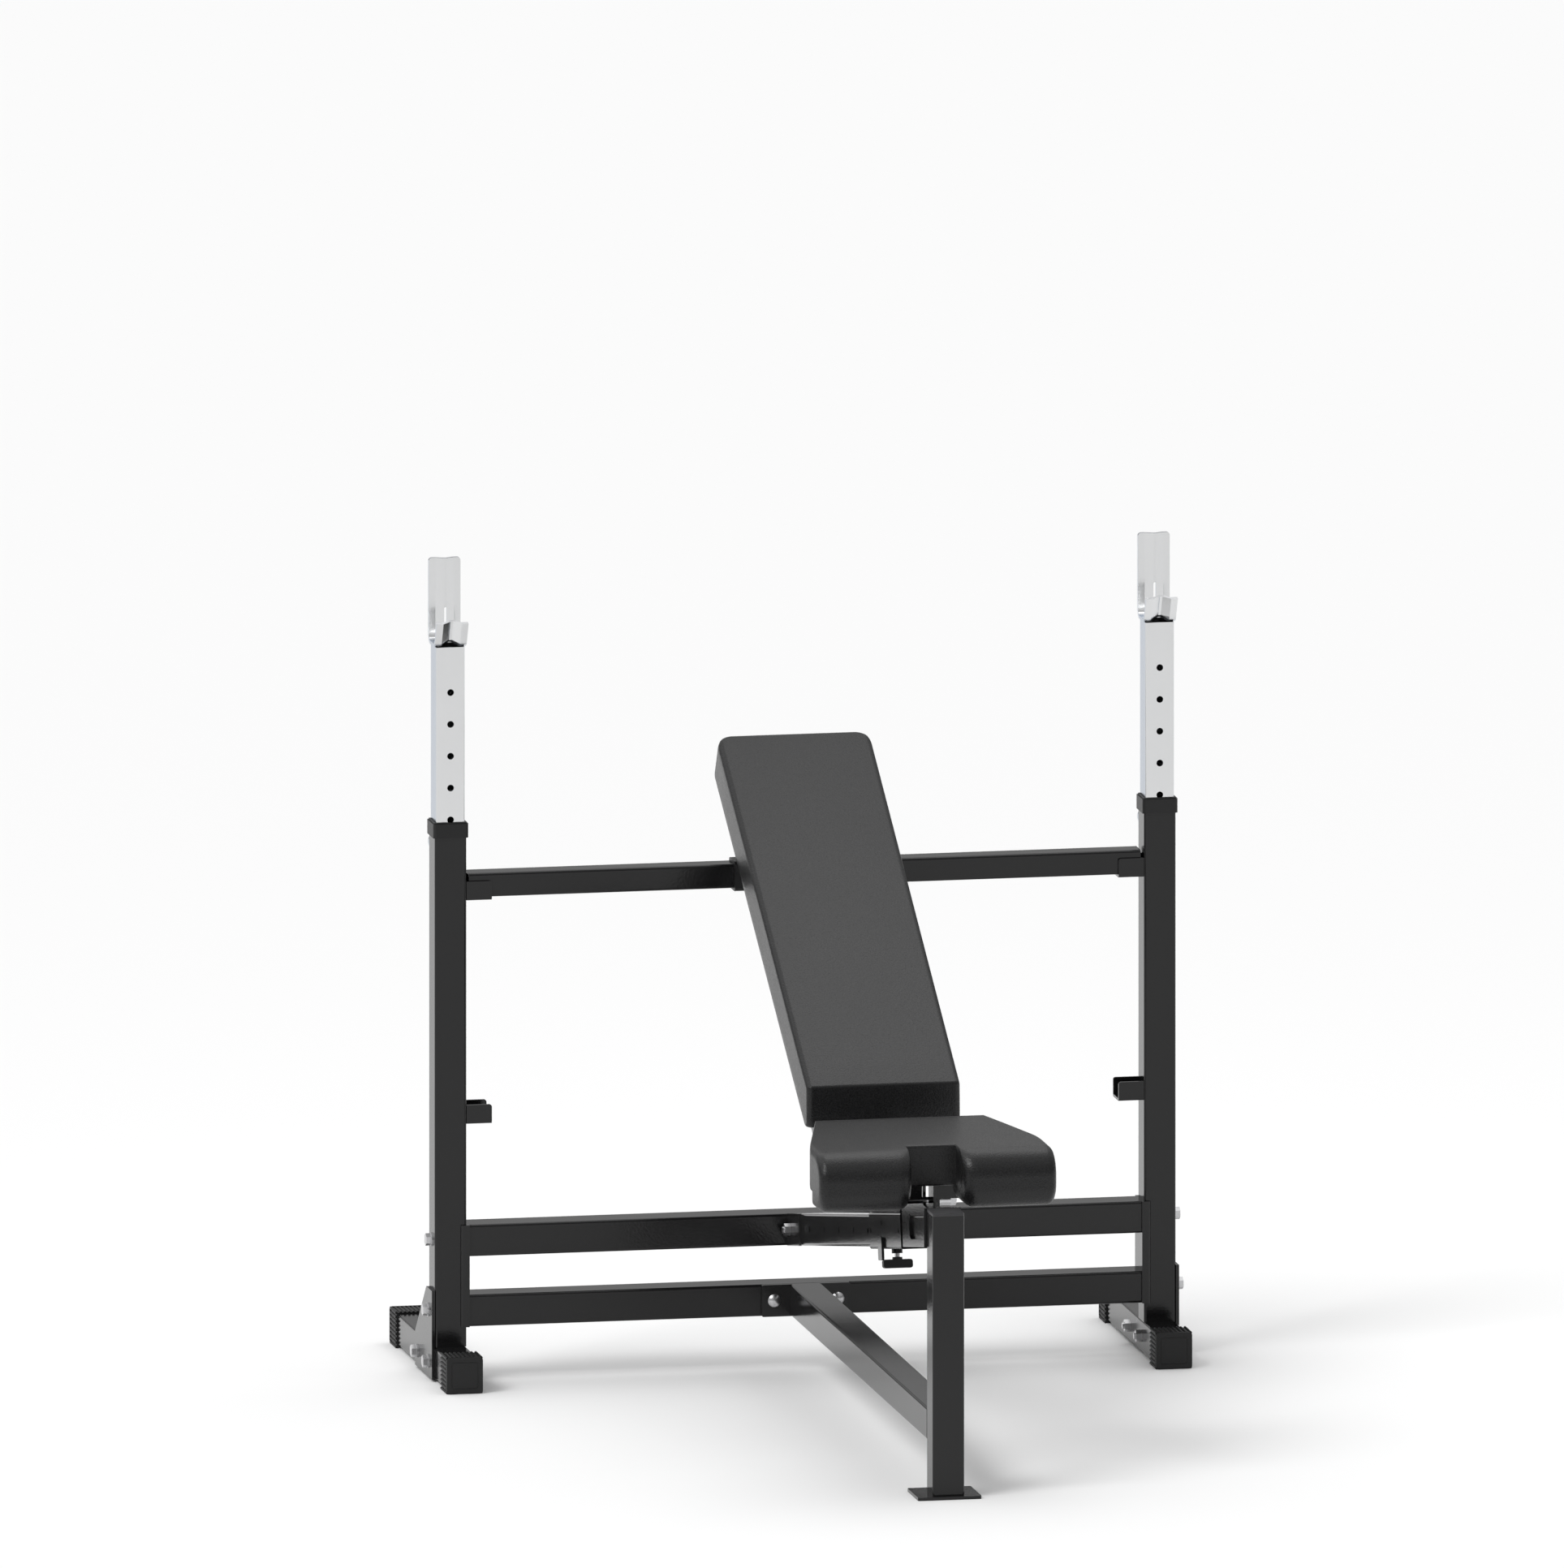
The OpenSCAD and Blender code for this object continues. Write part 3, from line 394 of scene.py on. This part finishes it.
def seat_skin(pads, material):
    """The seat: side profiles carried across X, deep at the two front rolls and shallow in the notch.

    Every profile has six rounded corners. From the notch outwards its front moves from the notch's
    wall to the roll on a quarter round, its rear follows the flared plan, and the last stations are
    drawn in on a quarter round to make the outer edge.
    """
    low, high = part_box("seat_pad")
    board_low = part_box("seat_board")[0].z
    half, rear, front, top, bottom = high.x, high.y, low.y, high.z, low.z
    points = point_array("seat_pad")
    rear_half = np.abs(points[points[:, 1] > rear - 9 * MM, 0]).max()
    under_roll = points[points[:, 2] < bottom + 1 * MM]
    roll_y = under_roll[:, 1].max()
    notch_y = roll_y - pads.roll_depth
    inner_round = pads.inner_round
    outer_round = pads.edge + 4 * MM
    step_round = 8 * MM
    notch_round = 4 * MM
    least_length = 60 * MM
    least_step = 20 * MM
    notch = pads.notch_half

    def plan_rear(x):
        flare = rear + (roll_y - rear) * (x - rear_half) / (half - rear_half)
        return np.minimum(rear, np.where(x > rear_half, flare, rear))

    def stations(x, inset, sink=0.0):
        """Corners for stations x: inset draws the roll in, sink draws the top and rear in too."""
        x, inset, sink = np.broadcast_arrays(np.asarray(x, float), inset, sink)
        nose = front + inset
        rear_y = np.maximum(plan_rear(x) - sink, nose + least_length)
        under = bottom + inset
        step = np.minimum(np.full_like(x, roll_y), rear_y - least_step)
        corners = np.stack([
            np.stack([rear_y, top - sink], 1),
            np.stack([nose, top - sink], 1),
            np.stack([nose, under], 1),
            np.stack([step, under], 1),
            np.stack([step, np.full_like(x, board_low)], 1),
            np.stack([rear_y, np.full_like(x, board_low)], 1),
        ], axis=1)
        rounds = np.stack([
            np.full_like(x, pads.edge), np.full_like(x, pads.roll), np.full_like(x, pads.roll_under),
            np.full_like(x, step_round), np.full_like(x, UNDER_ROUND), np.full_like(x, UNDER_ROUND),
        ], axis=1)
        return x, corners, rounds

    def notch_stations(x):
        x = np.asarray(x, float)
        flat = np.full_like(x, board_low)
        corners = np.stack([
            np.stack([plan_rear(x), np.full_like(x, top)], 1),
            np.stack([np.full_like(x, notch_y), np.full_like(x, top)], 1),
            np.stack([np.full_like(x, notch_y), flat], 1),
            np.stack([np.full_like(x, (notch_y + roll_y) / 2), flat], 1),
            np.stack([np.full_like(x, roll_y), flat], 1),
            np.stack([plan_rear(x), flat], 1),
        ], axis=1)
        rounds = np.tile([pads.edge, notch_round, notch_round, MM, MM, UNDER_ROUND], (len(x), 1))
        return x, corners, rounds

    inner_travel, inner_left = quarter_round(inner_round, 9)
    outer_travel, outer_left = quarter_round(outer_round, 9)
    parts = [
        notch_stations(np.concatenate([np.linspace(0.0, notch - 1.5 * MM, 8), [notch - 0.3 * MM]])),
        stations(notch + inner_travel, inner_left),
        stations(np.linspace(notch + inner_round + 6 * MM, rear_half - 3 * MM, 8), 0.0),
        stations(np.linspace(rear_half, half - outer_round - 3 * MM, 12), 0.0),
        stations(half - outer_left, outer_travel, outer_travel),
    ]
    x, corners, radii = mirrored(*[np.concatenate(group) for group in zip(*parts)])
    rings = crowned(x, rounded_rings(corners, radii), half, top, CROWN_DEPTH, pads.crown)
    return skin("seat_cushion", x, rings, material)


def backrest_frame():
    """The backrest's own frame: its pivot and the direction up the slope, both in (y, z)."""
    tilt = next(joint for joint in frame["joints"] if joint["name"] == "backrest_tilt")
    rail = point_array("left_back_rail")
    spread = rail - rail.mean(0)
    along = np.linalg.svd(spread[:, 1:], full_matrices=False)[2][0]
    along = along if along[0] > 0 else -along
    return np.array(tilt["pos_m"][1:]), along


def backrest_skin(pads, material):
    """The backrest: slope-wise profiles carried across X, cut upright at the lower end.

    In the pad's own frame a profile has four rounded corners. The head end follows the plan's
    corner round, and the outermost stations are drawn in on a quarter round on every side.
    """
    pivot, along = backrest_frame()
    square_to = np.array([-along[1], along[0]])
    local = (point_array("backrest_pad")[:, 1:] - pivot) @ np.stack([along, square_to], 1)
    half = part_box("backrest_pad")[1].x
    head, under, top = local[:, 0].max(), local[:, 1].min(), local[:, 1].max()
    foot = local[local[:, 1] > top - 2 * MM, 0].min()
    lean = along[1] / along[0]
    foot_low = foot - (top - under) * lean + 4 * MM * lean
    edge = pads.edge

    def stations(x, sink):
        x, sink = np.broadcast_arrays(np.asarray(x, float), sink)
        over = np.clip(x - (half - pads.corner), 0.0, pads.corner)
        nip = pads.corner - np.sqrt(np.maximum(pads.corner ** 2 - over ** 2, 0.0))
        end = head - np.minimum(nip, pads.corner * 0.9)
        corners = np.stack([
            np.stack([end - sink * 0.2, top - sink], 1),
            np.stack([foot + sink * 0.6, top - sink], 1),
            np.stack([foot_low + sink * 0.6, np.full_like(sink, under)], 1),
            np.stack([end - sink * 0.2, np.full_like(sink, under)], 1),
        ], axis=1)
        rounds = np.tile([edge, edge * 0.6, pads.chin, UNDER_ROUND], (len(x), 1))
        return x, corners, rounds

    edge_travel, edge_left = quarter_round(edge, 12)
    parts = [
        stations(np.linspace(0.0, half - pads.corner - 2 * MM, 10), 0.0),
        stations(np.linspace(half - pads.corner, half - edge - 1 * MM, 8), 0.0),
        stations(half - edge_left, edge_travel),
    ]
    x, corners, radii = mirrored(*[np.concatenate(group) for group in zip(*parts)])
    rings = rounded_rings(corners, radii, edge_points=14)
    rings = crowned(x, rings, half, top, CROWN_DEPTH, pads.crown)
    rings = pivot + rings @ np.stack([along, square_to])
    return skin("backrest_cushion", x, rings, material)


def coat_nodes(names, material):
    """Gives CAD pieces a finish by filling their material slots."""
    for name in names:
        mesh = NODES[name].data
        if not mesh.materials:
            mesh.materials.append(material)
        for slot in range(len(mesh.materials)):
            mesh.materials[slot] = material


def nodes_in_slot(slot):
    return [part["node"] for part in frame["record"]["subparts"] if part["material_slot"] == slot]


# ---- Operators ----

class BENCH_OT_frame_finish(bpy.types.Operator):
    """Powder-coats the rack, the bench frame, the carriage and the rails"""

    bl_idname = "bench.frame_finish"
    bl_label = "Powder-coated steel"

    def execute(self, context):
        coat_nodes(nodes_in_slot("frame_paint"), powder_coat(context.scene.bench_colours.coat))
        return {"FINISHED"}


class BENCH_OT_bright_finish(bpy.types.Operator):
    """Plates the bar posts, saddles and pin knobs, and the fasteners"""

    bl_idname = "bench.bright_finish"
    bl_label = "Plated steel"

    def execute(self, context):
        colours = context.scene.bench_colours
        coat_nodes(nodes_in_slot("chrome_plate"), chrome_plate(colours.chrome))
        coat_nodes(nodes_in_slot("zinc_steel"), zinc_plate(colours.zinc))
        return {"FINISHED"}


class BENCH_OT_plastic_finish(bpy.types.Operator):
    """Moulds the collars, foot caps, crossbar sleeve and clamp handle"""

    bl_idname = "bench.plastic_finish"
    bl_label = "Moulded plastic"

    def execute(self, context):
        colour = context.scene.bench_colours.plastic
        paler = shade(colour, 7.0)
        coat_nodes(nodes_in_slot("black_plastic"), moulded_plastic("collar_plastic", colour, 0.42, 0.10))
        coat_nodes(nodes_in_slot("cap_plastic"), moulded_plastic("rib_plastic", colour, 0.50, 0.18))
        coat_nodes(["front_post_cap"], moulded_plastic("post_cap_plastic", paler, 0.36, 0.08))
        coat_nodes(nodes_in_slot("plywood"), plywood())
        return {"FINISHED"}


class BENCH_OT_seat(bpy.types.Operator):
    """Upholsters the seat with its two front rolls"""

    bl_idname = "bench.seat"
    bl_label = "Seat cushion"

    def execute(self, context):
        piece = seat_skin(context.scene.bench_pads, shared_vinyl(context.scene.bench_colours))
        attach(piece, "carriage")
        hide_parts("seat_pad")
        return {"FINISHED"}


class BENCH_OT_backrest(bpy.types.Operator):
    """Upholsters the backrest"""

    bl_idname = "bench.backrest"
    bl_label = "Backrest cushion"

    def execute(self, context):
        piece = backrest_skin(context.scene.bench_pads, shared_vinyl(context.scene.bench_colours))
        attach(piece, "backrest")
        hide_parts("backrest_pad")
        return {"FINISHED"}


class BENCH_OT_studio(bpy.types.Operator):
    """Sets out a pale floor, soft lights and a long-lens camera"""

    bl_idname = "bench.studio"
    bl_label = "Studio"

    def execute(self, context):
        studio_floor()
        studio_light()
        studio_camera()
        return {"FINISHED"}


# ---- Studio ----

def studio_floor():
    size = 14.0
    mesh = bpy.data.meshes.new("studio_floor")
    corners = [(-size, -size, 0), (size, -size, 0), (size, size, 0), (-size, size, 0)]
    mesh.from_pydata(corners, [], [(0, 1, 2, 3)])
    finish = Finish("studio_paper", (0.93, 0.93, 0.93), 0.9, Specular_IOR_Level=0.0)
    mesh.materials.append(finish.material)
    floor = bpy.data.objects.new("studio_floor", mesh)
    bpy.context.scene.collection.objects.link(floor)


def lamp(name, kind, power, place, aim, **settings):
    """A lamp at a place, shining toward an aim."""
    light = bpy.data.lights.new(name, kind)
    light.energy = power
    for setting, value in settings.items():
        setattr(light, setting, value)
    holder = bpy.data.objects.new(name, light)
    bpy.context.scene.collection.objects.link(holder)
    holder.location = place
    holder.rotation_euler = (Vector(aim) - Vector(place)).to_track_quat("-Z", "Y").to_euler()


def studio_light():
    """A room with a bright ceiling, dimmer in front and on the right.

    A broad light shines from high on the left, and a softbox overhead gives the pads their sheen.
    """
    scene = bpy.context.scene
    scene.view_settings.view_transform = "Standard"
    world = bpy.data.worlds.new("studio")
    scene.world = world
    world.use_nodes = True
    tree = world.node_tree
    background = next(n for n in tree.nodes if n.type == "BACKGROUND")
    background.inputs["Color"].default_value = (1.0, 1.0, 1.0, 1.0)
    coordinates = tree.nodes.new("ShaderNodeTexCoord")
    split = tree.nodes.new("ShaderNodeSeparateXYZ")
    tree.links.new(coordinates.outputs["Generated"], split.inputs[0])

    def by_direction(axis, start, end, low, high):
        """A strength that goes from low to high as a direction's part along axis goes from start to end."""
        node = tree.nodes.new("ShaderNodeMapRange")
        node.interpolation_type = "SMOOTHSTEP"
        for index, number in enumerate((start, end, low, high), 1):
            node.inputs[index].default_value = number
        tree.links.new(split.outputs[axis], node.inputs[0])
        return node.outputs[0]

    def product(first, second):
        node = tree.nodes.new("ShaderNodeMath")
        node.operation = "MULTIPLY"
        tree.links.new(first, node.inputs[0])
        tree.links.new(second, node.inputs[1])
        return node.outputs[0]

    ceiling = by_direction("Z", 0.10, 0.75, 0.42, 1.15)
    front = by_direction("Y", -0.75, 0.15, 0.62, 1.0)
    right = by_direction("X", -0.2, 0.7, 1.0, 0.62)
    tree.links.new(product(product(ceiling, front), right), background.inputs["Strength"])

    # Where the picture looks straight at the room it is plain white
    white = tree.nodes.new("ShaderNodeBackground")
    white.inputs["Strength"].default_value = 1.1
    path = tree.nodes.new("ShaderNodeLightPath")
    mix = tree.nodes.new("ShaderNodeMixShader")
    output = next(n for n in tree.nodes if n.type == "OUTPUT_WORLD")
    tree.links.new(path.outputs["Is Camera Ray"], mix.inputs[0])
    tree.links.new(background.outputs[0], mix.inputs[1])
    tree.links.new(white.outputs[0], mix.inputs[2])
    tree.links.new(mix.outputs[0], output.inputs[0])
    key_place, key_aim = (-2.6, -1.2, 3.6), (0.0, 0.2, 0.5)
    lamp("key", "SUN", 1.15, key_place, key_aim, angle=math.radians(24.0))
    box_place, box_aim = (0.49, 0.49, 3.16), (0.0, -0.35, 0.75)
    lamp("softbox", "AREA", 12.0, box_place, box_aim, size=1.6)


def studio_camera():
    """A long lens, low and slightly to the left, aimed over the rack's middle."""
    azimuth, elevation = math.radians(-11.15), math.radians(10.3)
    level = math.cos(elevation)
    look = Vector((-math.sin(azimuth) * level, math.cos(azimuth) * level, -math.sin(elevation)))
    right = Vector((math.cos(azimuth), math.sin(azimuth), 0.0))
    up = right.cross(look)
    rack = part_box("upper_crossbeam")
    foot = Vector((0.0, (rack[0].y + rack[1].y) / 2, 0.0))
    left_shift, up_shift, distance = 0.0315, 0.900, 7.0
    centre = foot - left_shift * right + up_shift * up
    data = bpy.data.cameras.new("camera")
    data.type = "ORTHO"
    data.ortho_scale = 2.424
    data.clip_end = 60.0
    camera = bpy.data.objects.new("camera", data)
    bpy.context.scene.collection.objects.link(camera)
    camera.location = centre - distance * look
    camera.rotation_euler = look.to_track_quat("-Z", "Y").to_euler()
    bpy.context.scene.camera = camera


# ---- Panel and registration ----

OPERATORS = (
    BENCH_OT_frame_finish, BENCH_OT_bright_finish, BENCH_OT_plastic_finish,
    BENCH_OT_seat, BENCH_OT_backrest, BENCH_OT_studio,
)


class BENCH_PT_panel(bpy.types.Panel):
    """Lists the steps that dress the bench."""

    bl_idname = "BENCH_PT_panel"
    bl_label = "Bench Press"
    bl_space_type = "VIEW_3D"
    bl_region_type = "UI"
    bl_category = "Bench"

    def draw(self, context):
        for group in (context.scene.bench_pads, context.scene.bench_colours):
            for name in group.bl_rna.properties.keys():
                if name not in ("rna_type", "name"):
                    self.layout.prop(group, name)
        for operator in OPERATORS:
            self.layout.operator(operator.bl_idname)


CLASSES = (BenchPads, BenchColours, *OPERATORS, BENCH_PT_panel)


def register():
    for cls in CLASSES:
        bpy.utils.register_class(cls)
    bpy.types.Scene.bench_pads = bpy.props.PointerProperty(type=BenchPads)
    bpy.types.Scene.bench_colours = bpy.props.PointerProperty(type=BenchColours)


def unregister():
    del bpy.types.Scene.bench_colours
    del bpy.types.Scene.bench_pads
    for cls in reversed(CLASSES):
        bpy.utils.unregister_class(cls)


def main():
    register()
    for operator in OPERATORS:
        family, name = operator.bl_idname.split(".")
        getattr(getattr(bpy.ops, family), name)()


if __name__ == "__main__":
    main()
